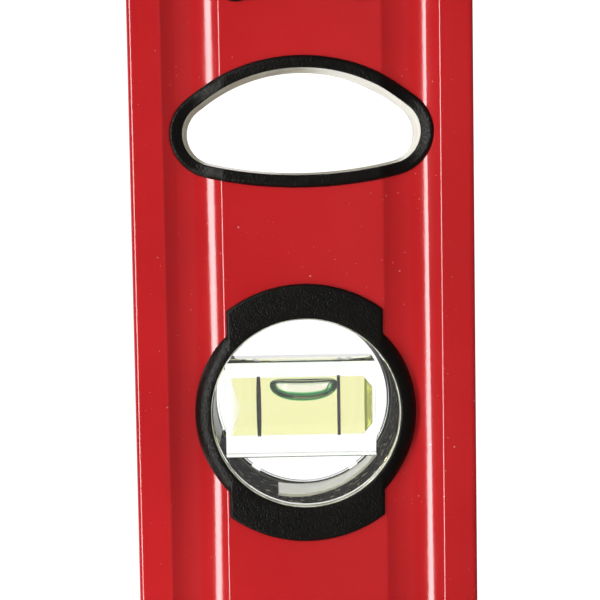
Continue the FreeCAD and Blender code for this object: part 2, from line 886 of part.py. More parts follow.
def lens(name, front):
    """A clear disc with a raised middle that faces outwards, and fills the lip at the back."""
    step = HALF_DEPTH - dim("lens_sink")
    inner = step - dim("lens_thick")
    outer = step + dim("lens_rise")
    radius = dim("bore_radius") - dim("fit_gap") / 2
    middle = dim("lip_radius") - dim("fit_gap")
    side = -1 if front else 1
    flange_ends = sorted((inner * side, step * side), key=lambda size: size.value)
    middle_ends = sorted((inner * side, outer * side), key=lambda size: size.value)
    flange = cylinder(f"{name}_flange", radius, *flange_ends, "Y")
    raised = cylinder(f"{name}_middle", middle, *middle_ends, "Y")
    return fuse(name, flange, raised)


def locking_shim(name):
    """A pale curved strip on the wall of the bore, behind the vial, which stops the housing turning."""
    radius = dim("bore_radius")
    low = dim("fit_gap")
    outer = cylinder(f"{name}_outer", radius, low, dim("shim_depth"), "Y")
    inner = cylinder(f"{name}_inner", radius - dim("shim_thick"), low, dim("shim_depth"), "Y")
    for part in (outer, inner):
        bind(part, "Angle", dim("shim_sweep"))
        part.Placement = Placement(part.Placement.Base, Rotation(Vector(0, 1, 0), SHIM_TURN) * ALONG_Y)
        move_to(part, 0, dim("shim_depth"), 0)
    return cut(name, outer, inner)


def plumb_unit(side, sign, skin):
    place = {"x": PLUMB_X * sign, "z": MIDDLE_HEIGHT, "rotation": UPRIGHT if sign < 0 else FLIPPED}
    prefix = f"{side}_plumb"
    finish(plumb_bezel(f"{prefix}_front", skin, lipped=False), f"{prefix}_front_bezel", **place)
    back_place = {**place, "rotation": place["rotation"] * TURNED_BACK}
    finish(plumb_bezel(f"{prefix}_back", skin, lipped=True), f"{prefix}_back_bezel", **back_place)
    finish(lens(f"{prefix}_front_lens", front=True), f"{prefix}_front_lens", **place)
    finish(lens(f"{prefix}_back_lens", front=False), f"{prefix}_back_lens", **place)
    finish(locking_shim(f"{prefix}_shim"), f"{prefix}_locking_shim", **place)
    for part, solid in vial_parts(prefix, plumb_vial()).items():
        finish(solid, f"{prefix}_{part}", **place)


def moon_unit(side, sign, skin):
    turn = UPRIGHT if sign < 0 else FLIPPED
    for face, rotation in (("front", turn), ("back", turn * TURNED_BACK)):
        name = f"{side}_half_moon_{face}_liner"
        finish(moon_ring(name, skin), name, MOON_X * sign, MIDDLE_HEIGHT, rotation)


def grip_unit(side, sign, skin):
    for face, rotation in (("front", UPRIGHT), ("back", TURNED_BACK)):
        name = f"{side}_hand_hole_{face}_grip"
        finish(grip_ring(name, skin), name, GRIP_X * sign, MIDDLE_HEIGHT, rotation)


# ---------------------------------------------------------------- centre vial unit


def frame_rim_outline(sketch):
    half = dim("frame_half") + dim("frame_rim")
    low = (-half, dim("frame_low") - dim("frame_rim") - MIDDLE_HEIGHT)
    rounded_rectangle(sketch, low, (half, MIDDLE_HEIGHT), dim("frame_corner"))


def sight_outline(sketch):
    half = dim("sight_half")
    low = (-half, dim("sight_low") - MIDDLE_HEIGHT)
    high = (half, dim("sight_high") - MIDDLE_HEIGHT)
    rounded_rectangle(sketch, low, high, dim("sight_corner"))


def centre_frame(face, skin):
    """Half of the centre vial's housing, closed round the vial and open to the face and to the top."""
    name = f"centre_{face}"
    gap = dim("fit_gap")
    half = dim("frame_half") - gap
    low = dim("frame_low") + gap - MIDDLE_HEIGHT
    block = box(f"{name}_body", (-half, -HALF_DEPTH, low), (half, as_size(0), MIDDLE_HEIGHT))
    body = common(f"{name}_flush", block, face_bar(f"{name}_bar", dim("skin_reach"), 0))
    rim = common(f"{name}_rim", prism(f"{name}_face", frame_rim_outline, HALF_DEPTH * 2, 0), skin)
    sight = prism(f"{name}_sight", sight_outline, HALF_DEPTH * 2, OVERRUN)
    axis_height = dim("long_axis_height") - MIDDLE_HEIGHT
    top_end = MIDDLE_HEIGHT + OVERRUN
    top = centred_box(f"{name}_top", dim("top_half"), dim("top_wide") / 2, axis_height, top_end)
    seat = box(f"{name}_seat", *centre_seat())
    return cut(name, fuse(name, body, rim), sight, top, seat)


def centre_seat():
    """The pocket that holds the centre vial's block, about the beam's middle height."""
    gap = dim("fit_gap")
    half = dim("long_block_half") + gap
    middle = dim("long_axis_height") - MIDDLE_HEIGHT
    tall = dim("block_wide") / 2 + gap
    deep = dim("block_thick") / 2 + gap
    return (-half, -deep, middle - tall), (half, deep, middle + tall)


def top_window():
    """A clear plate in the top opening, with a narrower locating step under it."""
    gap = dim("fit_gap") / 2
    high = MIDDLE_HEIGHT - dim("window_sink")
    low = high - dim("lens_thick")
    plate = centred_box("window_plate", dim("top_half") - gap, dim("top_wide") / 2 - gap, low, high)
    inset = gap + dim("window_step")
    step_low = low - dim("window_step")
    step = centred_box("window_step", dim("top_half") - inset, dim("top_wide") / 2 - inset, step_low, high)
    return fuse("centre_top_window", plate, step)


def centred_box(name, half_long, half_wide, low, high):
    return box(name, (-half_long, -half_wide, low), (half_long, half_wide, high))


def centre_unit(skin):
    finish(centre_frame("front", skin), "centre_front_frame", z=MIDDLE_HEIGHT)
    finish(centre_frame("back", skin), "centre_back_frame", z=MIDDLE_HEIGHT, rotation=HALF_TURN)
    finish(top_window(), "centre_top_window", z=MIDDLE_HEIGHT)
    lying = Rotation(Vector(0, 1, 0), -90)
    for part, solid in vial_parts("centre", centre_vial()).items():
        finish(solid, f"centre_{part}", z=dim("long_axis_height"), rotation=lying)


# ---------------------------------------------------------------- assembly


def check_and_write():
    doc.recompute()
    for item in doc.Objects:
        if "Invalid" in item.State or "Error" in item.State:
            raise RuntimeError(f"{item.Name} did not recompute: {item.State}")
    for solid in FINISHED:
        shape = solid.Shape
        if shape.isNull() or not shape.isValid() or not shape.Solids:
            raise RuntimeError(f"{solid.Label} is not a valid solid")
    os.makedirs("parts", exist_ok=True)
    for solid in FINISHED:
        solid.Shape.exportStep(f"parts/{solid.Label}.step")
        print(f"{solid.Label}: {len(solid.Shape.Solids)} solid(s), {solid.Shape.Volume:.0f} mm3")


beam()
for side, sign in SIDES.items():
    end_cap(side, sign)
    moon_unit(side, sign, face_skin(f"{side}_moon", dim("skin_reach")))
    grip_unit(side, sign, face_skin(f"{side}_grip", dim("long_skin_reach")))
    plumb_unit(side, sign, face_skin(f"{side}_plumb", dim("skin_reach")))
centre_unit(face_skin("centre", dim("skin_reach")))
check_and_write()
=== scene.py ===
import math

import bmesh
import bpy
from mathutils import Matrix, Vector


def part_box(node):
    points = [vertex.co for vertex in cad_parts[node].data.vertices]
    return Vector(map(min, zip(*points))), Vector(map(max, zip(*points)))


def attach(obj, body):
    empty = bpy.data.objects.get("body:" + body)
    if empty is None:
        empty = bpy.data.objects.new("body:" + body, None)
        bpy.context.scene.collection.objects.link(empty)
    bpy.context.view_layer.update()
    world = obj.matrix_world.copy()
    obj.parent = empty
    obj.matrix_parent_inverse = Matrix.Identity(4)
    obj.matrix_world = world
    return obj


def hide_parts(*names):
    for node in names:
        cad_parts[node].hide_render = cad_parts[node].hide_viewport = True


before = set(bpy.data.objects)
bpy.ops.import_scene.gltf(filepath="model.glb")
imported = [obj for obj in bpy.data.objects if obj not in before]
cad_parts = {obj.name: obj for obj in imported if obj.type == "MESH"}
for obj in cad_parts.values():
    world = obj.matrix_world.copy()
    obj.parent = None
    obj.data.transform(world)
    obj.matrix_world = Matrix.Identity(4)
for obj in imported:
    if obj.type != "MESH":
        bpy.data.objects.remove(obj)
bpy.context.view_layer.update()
MM = 0.001

# Driving dimensions of the moulded parts, in metres. The level's places come from the frame.
BEAM_LOW, BEAM_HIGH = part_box("beam")
MIDDLE_Z = (BEAM_LOW.z + BEAM_HIGH.z) / 2
FRONT_Y = BEAM_LOW.y

WEB_HALF = 14.1 * MM
RAIL_START = 24.15 * MM
WEB_RECESS = 0.8 * MM
GROOVE_RADIUS = 7.4 * MM
CREST_ROUND = 0.45 * MM
SKIN = 0.8 * MM
STEP = 0.35 * MM
BURIED = 0.15 * MM
TINY = 1e-6


# ---------------------------------------------------------------- the beam's face


def sharp_depth(across):
    """How far the beam's face lies behind the rails, at a distance from its centre line."""
    across = abs(across)
    if across >= RAIL_START:
        return 0.0
    if across <= WEB_HALF:
        return WEB_RECESS
    chord = Vector((WEB_HALF - RAIL_START, -WEB_RECESS))
    middle = Vector(((WEB_HALF + RAIL_START) / 2, -WEB_RECESS / 2))
    outward = Vector((-chord.y, chord.x)).normalized() * -1
    centre = middle + outward * math.sqrt(GROOVE_RADIUS ** 2 - (chord.length / 2) ** 2)
    return math.sqrt(max(GROOVE_RADIUS ** 2 - (across - centre.x) ** 2, 0.0)) - centre.y


def face_depth(across):
    """The same, with the crests rounded."""
    reach = 4
    total = sum(sharp_depth(across + CREST_ROUND * k / reach) for k in range(-reach, reach + 1))
    return total / (2 * reach + 1)


# ---------------------------------------------------------------- outlines in the plane of the face


def outline_points(arcs):
    """Points and outward normals round an outline of (centre, radius, first, last) arcs in degrees.
    An arc whose last angle is smaller runs clockwise, and bends into the hole."""
    spots = []
    for centre, radius, first, last in arcs:
        count = max(3, int(abs(math.radians(last - first)) * radius / STEP))
        sense = 1 if last > first else -1
        for k in range(count + 1):
            turn = math.radians(first + (last - first) * k / count)
            ray = Vector((math.cos(turn), math.sin(turn)))
            spots.append((Vector(centre) + ray * radius, ray * sense))
    filled = []
    for k, (spot, normal) in enumerate(spots):
        filled.append((spot, normal))
        following, next_normal = spots[(k + 1) % len(spots)]
        gap = (following - spot).length
        extra = int(gap / STEP)
        for j in range(1, extra):
            share = j / extra
            filled.append((spot.lerp(following, share), normal.lerp(next_normal, share).normalized()))
    return without_repeats(filled)


def without_repeats(spots):
    return [spots[k] for k in range(len(spots)) if (spots[k][0] - spots[k - 1][0]).length > TINY]


def half_moon():
    """Apex towards +X: a round apex, straight shoulders, round tips and a shallow belly."""
    apex, apex_radius = (-19.5 * MM, 0), 28.8 * MM
    tip_x, tip_z, tip_radius = -1.9 * MM, 15.2 * MM, 5.6 * MM
    belly_radius = 72.0 * MM
    run, rise = tip_x - apex[0], tip_z
    spread = (apex_radius - tip_radius) / math.hypot(run, rise)
    shoulder = math.degrees(math.atan2(rise, run) - math.acos(spread))
    belly_x = tip_x + math.sqrt((belly_radius - tip_radius) ** 2 - rise ** 2)
    heel = math.degrees(math.atan2(rise, tip_x - belly_x))
    return outline_points(
        [
            (apex, apex_radius, -shoulder, shoulder),
            ((tip_x, tip_z), tip_radius, shoulder, heel),
            ((belly_x, 0), belly_radius, heel, 360 - heel),
            ((tip_x, -tip_z), tip_radius, 360 - heel, 360 - shoulder),
        ]
    )


def hand_hole():
    """Straight sides, and ends that curve into the hole between two horns."""
    inset = 2.6 * MM
    half_wide = 14.9 * MM - inset
    corner = 2.9 * MM - inset * 0.6
    curve = 33.0 * MM + inset
    centre_x = (124.0 / 2 + 30.3) * MM
    corner_z = half_wide - corner
    corner_x = centre_x - math.sqrt((curve + corner) ** 2 - corner_z ** 2)
    lean = math.degrees(math.atan2(corner_z, centre_x - corner_x))
    return outline_points(
        [
            ((corner_x, corner_z), corner, -lean, 90),
            ((-corner_x, corner_z), corner, 90, 180 + lean),
            ((-centre_x, 0), curve, lean, -lean),
            ((-corner_x, -corner_z), corner, 180 - lean, 270),
            ((corner_x, -corner_z), corner, -90, lean),
            ((centre_x, 0), curve, 180 + lean, 180 - lean),
        ]
    )


# ---------------------------------------------------------------- meshes


def new_piece(name, verts, faces, materials, body="level", replaces=(), smooth=40):
    mesh = bpy.data.meshes.new(name)
    mesh.from_pydata([tuple(v) for v in verts], [], faces)
    for material in materials:
        mesh.materials.append(material)
    piece = bpy.data.objects.new(name, mesh)
    bpy.context.scene.collection.objects.link(piece)
    tidy_mesh(mesh, smooth)
    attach(piece, body)
    if replaces:
        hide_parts(*replaces)
    return piece


def tidy_mesh(mesh, smooth):
    shape = bmesh.new()
    shape.from_mesh(mesh)
    bmesh.ops.recalc_face_normals(shape, faces=shape.faces)
    for face in shape.faces:
        face.smooth = True
    for edge in shape.edges:
        if len(edge.link_faces) == 2 and edge.calc_face_angle(0) > math.radians(smooth):
            edge.smooth = False
    shape.to_mesh(mesh)
    shape.free()


def store_values(piece, name, values):
    store = piece.data.attributes.new(name, "FLOAT", "POINT")
    store.data.foreach_set("value", values)


def loft(rings, closed_across=True, closed_along=True):
    """Quads between rings of equal length. Returns the vertices and the faces."""
    verts = [spot for ring in rings for spot in ring]
    size = len(rings[0])
    faces = []
    for r in range(len(rings) if closed_along else len(rings) - 1):
        for k in range(size if closed_across else size - 1):
            a, b = r * size, (r + 1) % len(rings) * size
            j = (k + 1) % size
            faces.append((a + k, a + j, b + j, b + k))
    return verts, faces


def rounded_profile(radius):
    """Quarter circle from the side to the top of an edge, as (sideways, down) pairs."""
    steps = 6
    turns = [math.pi / 2 * k / steps for k in range(steps + 1)]
    return [(radius * (1 - math.cos(t)), radius * (1 - math.sin(t))) for t in turns]


def rim_section(width, wall, edge_round, inner_round, lift, taper=0.0, flare=0.0):
    """The section of a rim and its sleeve, as (offset, height above the face or None, depth) triples.
    It runs up the sleeve's bore, which leans in from the flare at its mouth to the taper in the middle
    of the beam, over the rim and back under it."""
    section = [(-taper, None, 1.0), ((flare - taper) / 2, None, 0.5)]
    for side, down in rounded_profile(inner_round):
        section.append((flare + side, lift - down, None))
    spans = 8
    flat_start = flare + inner_round
    for k in range(1, spans):
        share = k / spans
        section.append((flat_start + (width - flat_start - edge_round) * share, lift, None))
    for side, down in reversed(rounded_profile(edge_round)):
        section.append((width - side, lift - down, None))
    return section + [(width, -BURIED, None), (wall, -BURIED, None), (wall, None, 1.0)]


def rim_piece(cad, outline, section, turn, facing, materials):
    """A rim that follows the beam's face round an outline, with a sleeve to the middle of the beam."""
    rings = []
    centre = centre_of(cad)
    cos_turn = -1 if turn else 1
    for spot, normal in outline:
        ring = []
        for offset, height, share in section:
            place = spot + normal * offset
            depth = face_depth(place.y)
            if height is None:
                y = FRONT_Y + depth + (-FRONT_Y - depth) * share
            else:
                y = FRONT_Y + depth - height
            ring.append((centre.x + place.x * cos_turn, y * facing, centre.z + place.y * cos_turn))
        rings.append(ring)
    verts, faces = loft(rings)
    piece = new_piece(f"{cad}_rim", verts, faces, materials, replaces=[cad])
    mark_sleeve(piece, len(section))
    return piece


def mark_sleeve(piece, size):
    """Gives the bore of the sleeve, the first two strips of the section, the second material."""
    for polygon in piece.data.polygons:
        rows = sorted(v % size for v in polygon.vertices)
        if rows[0] == 0 and rows[-1] <= 1 or rows[0] >= 1 and rows[-1] <= 2:
            polygon.material_index = 1


# ---------------------------------------------------------------- node helpers


def new_material(name):
    material = bpy.data.materials.new(name)
    material.use_nodes = True
    tree = material.node_tree
    shader = next(n for n in tree.nodes if n.type == "BSDF_PRINCIPLED")
    return material, tree, shader


def noise(tree, coordinates, scale, detail=3.0, roughness=0.55):
    made = tree.nodes.new("ShaderNodeTexNoise")
    made.inputs["Scale"].default_value = scale
    made.inputs["Detail"].default_value = detail
    made.inputs["Roughness"].default_value = roughness
    tree.links.new(coordinates, made.inputs["Vector"])
    return made.outputs["Fac"]


def ramp(tree, value, stops):
    """Colours or grey levels at places from 0 to 1."""
    made = tree.nodes.new("ShaderNodeValToRGB")
    elements = made.color_ramp.elements
    while len(elements) < len(stops):
        elements.new(0.5)
    for element, (place, colour) in zip(elements, stops):
        element.position = place
        element.color = colour if isinstance(colour, tuple) else (colour, colour, colour, 1)
    tree.links.new(value, made.inputs["Fac"])
    return made.outputs["Color"]


def mix(tree, share, first, second, blend="MIX"):
    made = tree.nodes.new("ShaderNodeMix")
    made.data_type = "RGBA"
    made.blend_type = blend
    for socket, value in ((made.inputs[0], share), (made.inputs[6], first), (made.inputs[7], second)):
        if isinstance(value, bpy.types.NodeSocket):
            tree.links.new(value, socket)
        else:
            socket.default_value = value
    return made.outputs[2]


def add_bump(tree, shader, heights):
    """Chained bumps, from (height socket, strength, distance) triples."""
    previous = None
    for height, strength, distance in heights:
        bump = tree.nodes.new("ShaderNodeBump")
        bump.inputs["Strength"].default_value = strength
        bump.inputs["Distance"].default_value = distance
        tree.links.new(height, bump.inputs["Height"])
        if previous:
            tree.links.new(previous, bump.inputs["Normal"])
        previous = bump.outputs["Normal"]
    tree.links.new(previous, shader.inputs["Normal"])


def object_coordinates(tree):
    return tree.nodes.new("ShaderNodeTexCoord").outputs["Object"]


# ---------------------------------------------------------------- materials


def red_powder_coat():
    material, tree, shader = new_material("red_powder_coat")
    place = object_coordinates(tree)
    red, deep = (0.54, 0.0150, 0.0175, 1), (0.46, 0.0120, 0.0145, 1)
    shade = ramp(tree, noise(tree, place, 18, 4), [(0.35, deep), (0.65, red)])
    specks = ramp(tree, noise(tree, place, 1900, 1), [(0.765, 0.0), (0.80, 1.0)])
    patches = ramp(tree, noise(tree, place, 45, 2), [(0.5, 0.0), (0.62, 1.0)])
    dust = mix(tree, 1.0, specks, patches, "MULTIPLY")
    colour = mix(tree, dust, shade, (0.62, 0.30, 0.28, 1))
    tree.links.new(colour, shader.inputs["Base Color"])
    gloss = ramp(tree, noise(tree, place, 90, 3), [(0.3, 0.12), (0.7, 0.17)])
    tree.links.new(gloss, shader.inputs["Roughness"])
    shader.inputs["Specular IOR Level"].default_value = 0.5
    peel = noise(tree, place, 620, 2)
    grain = noise(tree, place, 2600, 2)
    add_bump(tree, shader, [(peel, 0.03, 0.0003), (grain, 0.05, 0.0001)])
    return material


def black_plastic():
    material, tree, shader = new_material("black_plastic")
    place = object_coordinates(tree)
    dark, worn = (0.0036, 0.0034, 0.0027, 1), (0.0060, 0.0056, 0.0044, 1)
    shade = ramp(tree, noise(tree, place, 60, 3), [(0.3, dark), (0.7, worn)])
    tree.links.new(shade, shader.inputs["Base Color"])
    gloss = ramp(tree, noise(tree, place, 900, 2), [(0.3, 0.30), (0.7, 0.40)])
    shader.inputs["Specular IOR Level"].default_value = 0.12
    tree.links.new(gloss, shader.inputs["Roughness"])
    texture = noise(tree, place, 2900, 1, 0.5)
    add_bump(tree, shader, [(texture, 0.9, 0.00016)])
    return material


def smooth_black():
    """The bores of the liners, which the mould leaves polished."""
    material, tree, shader = new_material("smooth_black_bore")
    place = object_coordinates(tree)
    dark, worn = (0.010, 0.010, 0.008, 1), (0.016, 0.015, 0.012, 1)
    shade = ramp(tree, noise(tree, place, 120, 2), [(0.3, dark), (0.7, worn)])
    tree.links.new(shade, shader.inputs["Base Color"])
    gloss = ramp(tree, noise(tree, place, 300, 2), [(0.3, 0.07), (0.7, 0.13)])
    tree.links.new(gloss, shader.inputs["Roughness"])
    return material


def liner_wall():
    """The pale glossy inside of the half-moon's liner, a little dusty."""
    material, tree, shader = new_material("liner_wall")
    place = object_coordinates(tree)
    clean, dusty = (0.80, 0.78, 0.66, 1), (0.68, 0.63, 0.50, 1)
    shade = ramp(tree, noise(tree, place, 140, 4), [(0.35, dusty), (0.6, clean)])
    tree.links.new(shade, shader.inputs["Base Color"])
    gloss = ramp(tree, noise(tree, place, 500, 2), [(0.3, 0.16), (0.7, 0.26)])
    tree.links.new(gloss, shader.inputs["Roughness"])
    add_bump(tree, shader, [(noise(tree, place, 600, 3), 0.05, 0.0002)])
    return material


def bore_black():
    """The inside of the vial housings: matt dark olive with tan specks."""
    material, tree, shader = new_material("bore_black")
    place = object_coordinates(tree)
    dark, olive, tan = (0.005, 0.005, 0.003, 1), (0.018, 0.017, 0.009, 1), (0.42, 0.36, 0.24, 1)
    shade = ramp(tree, noise(tree, place, 260, 4), [(0.35, dark), (0.75, olive)])
    specks = ramp(tree, noise(tree, place, 800, 2), [(0.60, 0.0), (0.67, 1.0)])
    tree.links.new(mix(tree, specks, shade, tan), shader.inputs["Base Color"])
    gloss = ramp(tree, noise(tree, place, 700, 2), [(0.3, 0.6), (0.7, 0.8)])
    tree.links.new(gloss, shader.inputs["Roughness"])
    shader.inputs["Specular IOR Level"].default_value = 0.0
    add_bump(tree, shader, [(noise(tree, place, 900, 3), 0.3, 0.0003)])
    return material


def clear_plastic(name, tint, ior, scuff):
    material, tree, shader = new_material(name)
    place = object_coordinates(tree)
    haze = ramp(tree, noise(tree, place, 500, 3), [(0.45, 0.0), (0.8, scuff)])
    tree.links.new(haze, shader.inputs["Roughness"])
    shader.inputs["Base Color"].default_value = tint
    shader.inputs["Transmission Weight"].default_value = 1.0
    shader.inputs["IOR"].default_value = ior
    return material


def tinted_glass(name, tint, ior, thin_tint_or_painted_line=None, painted_rim_shade_tints=()):
    """A surface between two clear bodies: ior is the inner one's over the outer one's. With a thin tint or
    painted line, the tint fades to it by the mesh's thin value, from 0 to 1; on the bubble this paints a
    reflected line along its crown.
    Painted rim shade tints are (share, tint) pairs along the mesh's rim value: 0 where it is parallel to the
    level's faces, and 1 square to them; they paint the shade round a body's rim."""
    material = bpy.data.materials.new(name)
    material.use_nodes = True
    tree = material.node_tree
    tree.nodes.clear()
    output = tree.nodes.new("ShaderNodeOutputMaterial")
    glass = tree.nodes.new("ShaderNodeBsdfGlass")
    glass.inputs["Color"].default_value = tint
    glass.inputs["Roughness"].default_value = 0.0
    glass.inputs["IOR"].default_value = ior
    if painted_rim_shade_tints:
        tint = ramp(tree, stored_value(tree, "rim"), painted_rim_shade_tints)
    if thin_tint_or_painted_line:
        tree.links.new(mix(tree, stored_value(tree, "thin"), tint, thin_tint_or_painted_line), glass.inputs["Color"])
    tree.links.new(glass.outputs[0], output.inputs["Surface"])
    return material


def stored_value(tree, name):
    """A value that is stored at each point of the mesh."""
    made = tree.nodes.new("ShaderNodeAttribute")
    made.attribute_name = name
    return made.outputs["Fac"]


def printed_black():
    material, tree, shader = new_material("printed_black")
    place = object_coordinates(tree)
    dense, thin = (0.004, 0.004, 0.002, 1), (0.012, 0.012, 0.006, 1)
    shade = ramp(tree, noise(tree, place, 1200, 2), [(0.3, dense), (0.7, thin)])
    tree.links.new(shade, shader.inputs["Base Color"])
    shader.inputs["Roughness"].default_value = 0.6
    return material


def cream_plastic():
    material, tree, shader = new_material("cream_plastic")
    place = object_coordinates(tree)
    deep, pale = (0.96, 0.94, 0.68, 1), (1.0, 0.98, 0.78, 1)
    shade = ramp(tree, noise(tree, place, 260, 3), [(0.3, deep), (0.7, pale)])
    tree.links.new(shade, shader.inputs["Base Color"])
    gloss = ramp(tree, noise(tree, place, 500, 2), [(0.3, 0.12), (0.7, 0.20)])
    tree.links.new(gloss, shader.inputs["Roughness"])
    return material


def seat_painted_light_and_shade():
    """Clear plastic seen edge on, with painted light and shade: a pale painted light at the mouth of the
    bore, and painted shade from tan to olive further in.
    """
    material, tree, shader = new_material("lens_seat")
    place = object_coordinates(tree)
    split = tree.nodes.new("ShaderNodeSeparateXYZ")
    tree.links.new(place, split.inputs[0])
    depth = tree.nodes.new("ShaderNodeMath")
    depth.operation = "ABSOLUTE"
    tree.links.new(split.outputs["Y"], depth.inputs[0])
    share = tree.nodes.new("ShaderNodeMapRange")
    share.inputs["From Min"].default_value = 11.5 * MM
    share.inputs["From Max"].default_value = 8.3 * MM
    tree.links.new(depth.outputs[0], share.inputs["Value"])
    pale, tan, olive = (0.85, 0.87, 0.72, 1), (0.42, 0.33, 0.20, 1), (0.06, 0.055, 0.025, 1)
    # This ramp by depth paints light at the mouth of the bore and shade deeper in.
    shade = ramp(tree, share.outputs[0], [(0.0, pale), (0.15, pale), (0.4, tan), (0.95, olive)])
    streaks = ramp(tree, noise(tree, place, 500, 4), [(0.35, 0.55), (0.65, 1.0)])
    tree.links.new(mix(tree, 1.0, shade, streaks, "MULTIPLY"), shader.inputs["Base Color"])
    shader.inputs["Roughness"].default_value = 0.6
    shader.inputs["Specular IOR Level"].default_value = 0.12
    return material


def dark_seam():
    """The bedding along the edges of the vial block: dark green, a little uneven."""
    material, tree, shader = new_material("dark_seam")
    place = object_coordinates(tree)
    dark, green = (0.01, 0.04, 0.015, 1), (0.06, 0.13, 0.05, 1)
    shade = ramp(tree, noise(tree, place, 700, 3), [(0.35, dark), (0.7, green)])
    tree.links.new(shade, shader.inputs["Base Color"])
    shader.inputs["Roughness"].default_value = 0.5
    return material


def pale_green():
    """A tinted window seen edge on, with darker green streaks."""
    material, tree, shader = new_material("pale_green_edge")
    place = object_coordinates(tree)
    dark, pale = (0.05, 0.09, 0.035, 1), (0.42, 0.50, 0.36, 1)
    shade = ramp(tree, noise(tree, place, 420, 3), [(0.35, dark), (0.62, pale)])
    tree.links.new(shade, shader.inputs["Base Color"])
    shader.inputs["Roughness"].default_value = 0.3
    shader.inputs["Specular IOR Level"].default_value = 0.2
    return material


RED = red_powder_coat()
BLACK = black_plastic()
SMOOTH_BLACK = smooth_black()
LINER_WALL = liner_wall()
BORE_BLACK = bore_black()
LENS = clear_plastic("clear_lens", (0.995, 0.998, 0.995, 1), 1.49, 0.02)
ACRYLIC = clear_plastic("clear_acrylic", (0.985, 0.997, 0.985, 1), 1.49, 0.01)
LIQUID = tinted_glass("vial_liquid", (0.938, 0.925, 0.668, 1), 0.988, (1, 1, 1, 1))
# A tint sits on a surface, so the bubble's own is over 1 to undo the liquid's where air has its place.
# Its dark green stops towards the rim are painted shade, standing in for total internal reflection at the
# bubble's edge.
AIR_PAINTED_RIM_SHADE = [
    (0.0, (1.04, 1.04, 1.30, 1)),
    (0.30, (1.02, 1.03, 1.25, 1)),
    (0.42, (0.40, 0.72, 0.36, 1)),
    (0.54, (0.06, 0.46, 0.23, 1)),
    (1.0, (0.03, 0.32, 0.16, 1)),
]
# The grey-blue crown tint is a painted reflected line along the bubble's flat top.
AIR = tinted_glass("bubble_air", (1, 1, 1, 1), 0.70, (0.72, 0.82, 0.88, 1), AIR_PAINTED_RIM_SHADE)
STOPPER = tinted_glass("vial_stopper", (0.62, 0.64, 0.32, 1), 1.03)
LINES = printed_black()
CREAM = cream_plastic()
SEAT_PAINTED_LIGHT_AND_SHADE = seat_painted_light_and_shade()
PALE_GREEN = pale_green()
SEAM = dark_seam()


# ---------------------------------------------------------------- rims


def centre_of(node_name):
    low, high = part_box(node_name)
    return Vector(((low.x + high.x) / 2, 0, (low.z + high.z) / 2))


def liners():
    outline = half_moon()
    flares = {"front": 0.0, "back": 0.4 * MM}
    for side in ("left", "right"):
        for face, facing in (("front", 1), ("back", -1)):
            cad = f"{side}_half_moon_{face}_liner"
            section = rim_section(2.2 * MM, 1.0 * MM, 0.85 * MM, 0.3 * MM, SKIN, 0.32 * MM, flares[face])
            rim_piece(cad, outline, section, side == "right", facing, [BLACK, LINER_WALL])


def grips():
    outline = hand_hole()
    section = rim_section(2.6 * MM, 1.2 * MM, 0.7 * MM, 0.6 * MM, SKIN)
    for side in ("left", "right"):
        for face, facing in (("front", 1), ("back", -1)):
            cad = f"{side}_hand_hole_{face}_grip"
            rim_piece(cad, outline, section, False, facing, [BLACK, SMOOTH_BLACK])


BORE_RADIUS = 16.75 * MM
LIP_RADIUS = 15.75 * MM
LIP_OFFSET = 0.35 * MM
LIP_DEPTH = 10.4 * MM
BEZEL_RADIUS = 19.6 * MM
EAR_RADIUS = 22.85 * MM
EAR_HALF = 13.75 * MM
CREASE_HALF = 13.2 * MM
ROLL_START = 16.9 * MM
MOUTH_ROUND = 0.25 * MM
EAR_EDGE = 0.5 * MM
SLEEVE_WALL = 1.15 * MM


def bezel_reach(sideways):
    """How far the bezel's outline is from its axis: a circle with two ears along the level."""
    ear = min(EAR_RADIUS, EAR_HALF / max(sideways, TINY))
    return max(BEZEL_RADIUS, ear)


def quarter(share, depth):
    """How far a quarter-round edge has fallen, from 0 at its start to depth at its end."""
    share = min(max(share, 0.0), 1.0)
    return depth * (1 - math.sqrt(1 - share ** 2))


def bezel_drop(radius, sideways):
    """How far the bezel's surface lies behind the rails: flat ears on a ring that rolls outwards."""
    foot = face_depth(BEZEL_RADIUS * sideways) + BURIED
    roll = quarter((radius - ROLL_START) / (BEZEL_RADIUS - ROLL_START), foot)
    across = radius * sideways
    side = quarter((across - CREASE_HALF) / (EAR_HALF - CREASE_HALF), SKIN)
    end = quarter((radius - EAR_RADIUS + EAR_EDGE) / EAR_EDGE, SKIN)
    ear = max(side, end)
    on_ring = radius <= BEZEL_RADIUS
    on_ear = across <= EAR_HALF + TINY / 10
    if on_ring and on_ear:
        return min(roll, ear)
    return roll if on_ring else ear


def bezel_section(sideways):
    """(radius, depth behind the rails, or share of the way to the beam's middle) from the bore outwards."""
    reach = bezel_reach(sideways)
    mouth = BORE_RADIUS + MOUTH_ROUND
    crease = min(max(CREASE_HALF / max(sideways, TINY), mouth + 0.05 * MM), reach - EAR_EDGE)
    section = [(BORE_RADIUS, -FRONT_Y), (BORE_RADIUS, -FRONT_Y / 2)]
    for k in range(4):
        turn = math.pi / 2 * k / 3
        shift, drop = MOUTH_ROUND * (1 - math.cos(turn)), MOUTH_ROUND * (1 - math.sin(turn))
        section.append((BORE_RADIUS + shift, drop + bezel_drop(BORE_RADIUS + shift, sideways)))
    flats, rolls = 4, 12
    for k in range(1, flats + 1):
        radius = mouth + (crease - mouth) * k / flats
        section.append((radius, bezel_drop(radius, sideways)))
    for k in range(1, rolls + 1):
        radius = crease + (reach - crease) * math.sin(math.pi / 2 * k / rolls)
        section.append((radius, bezel_drop(radius, sideways)))
    sleeve = BORE_RADIUS + SLEEVE_WALL
    bury = face_depth(reach * sideways) + BURIED
    section += [(reach, bury + BURIED), (sleeve, bury + BURIED), (sleeve, -FRONT_Y)]
    return section


